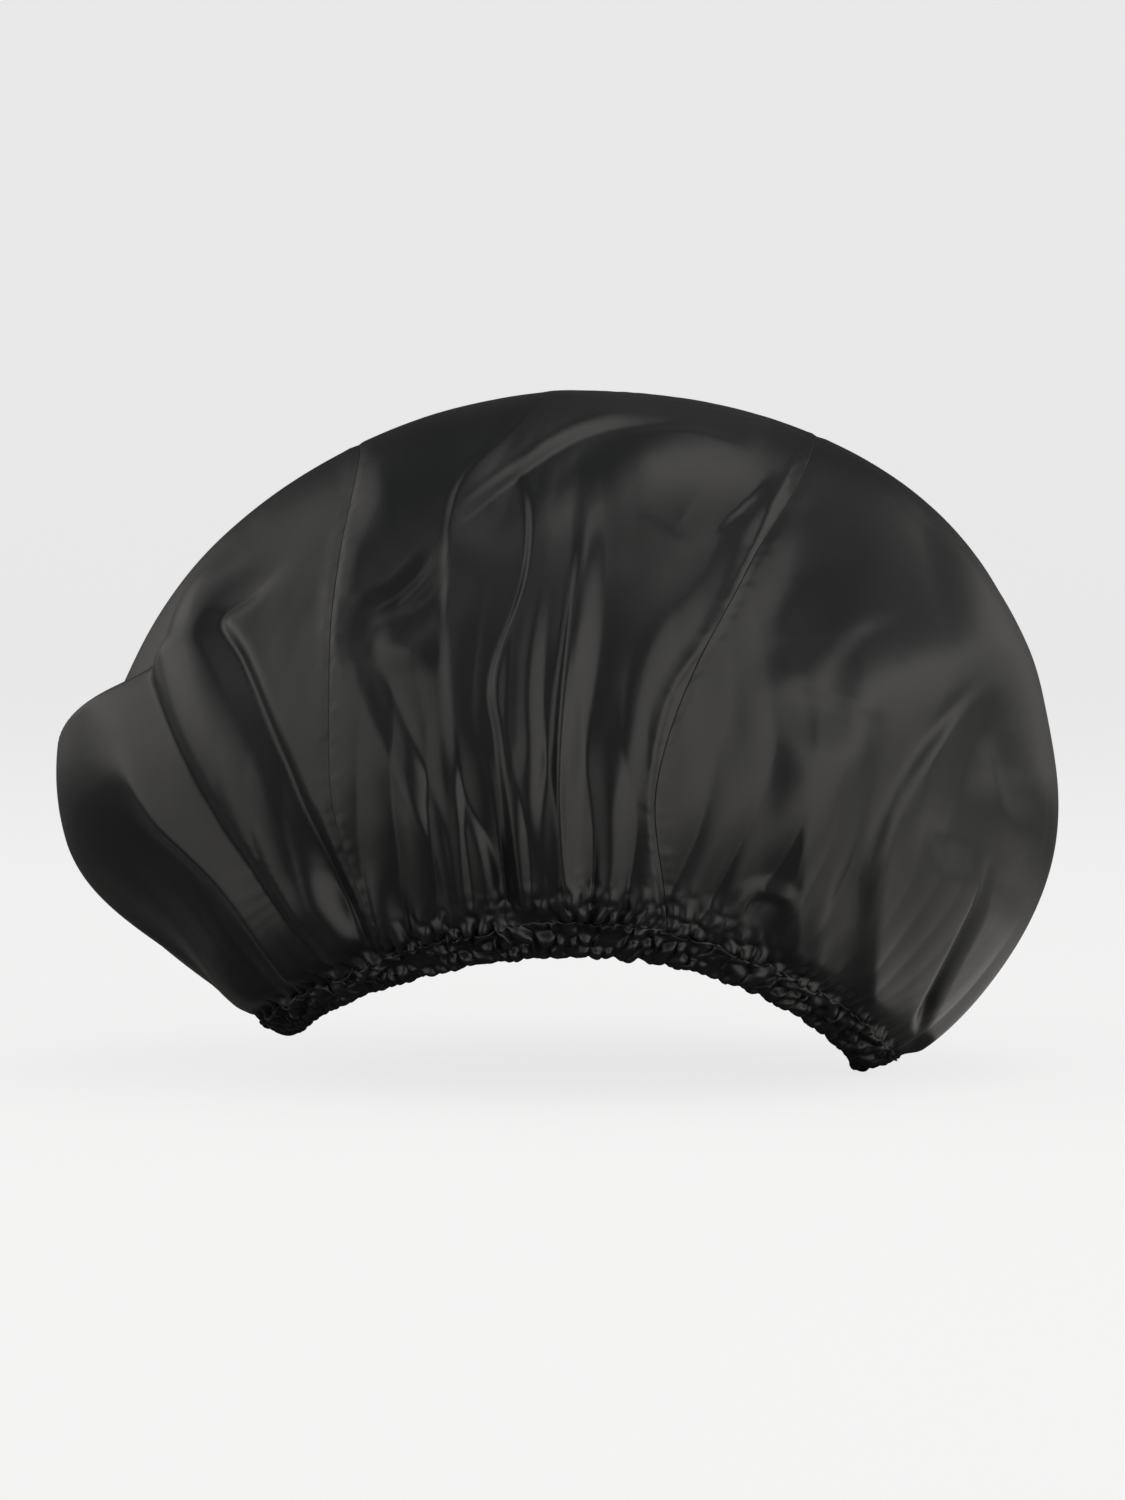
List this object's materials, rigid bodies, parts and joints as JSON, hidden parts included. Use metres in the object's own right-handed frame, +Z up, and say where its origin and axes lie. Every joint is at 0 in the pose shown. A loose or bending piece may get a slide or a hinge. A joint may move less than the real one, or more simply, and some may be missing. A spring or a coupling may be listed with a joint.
{
  "type": "hair bonnet",
  "caption": "Puffed black satin hair bonnet: sewn panels over the crown, gathered at the head opening by an elastic band in a ruched hem casing.",
  "frame": {"origin": "middle of the head opening, level with the mean height of the hem at the sides", "axes": "+X to the wearer's left, which is the right of the picture; -Y to the front; +Z up through the crown"},
  "size_m": [0.3267, 0.2616, 0.2176],
  "materials": {
    "satin": "black satin weave, smooth and softly glossy",
    "thread": "matt black sewing thread",
    "elastic": "black knitted elastic"
  },
  "bodies": {
    "root": {"left_side_panel": "satin", "centre_panel": "satin", "right_side_panel": "satin", "left_seam_thread": "thread", "right_seam_thread": "thread", "left_seam_overlock": "thread", "right_seam_overlock": "thread", "hem_casing": "satin", "hem_thread": "thread", "elastic_band": "elastic", "elastic_join_thread": "thread"}
  },
  "joints": []
}
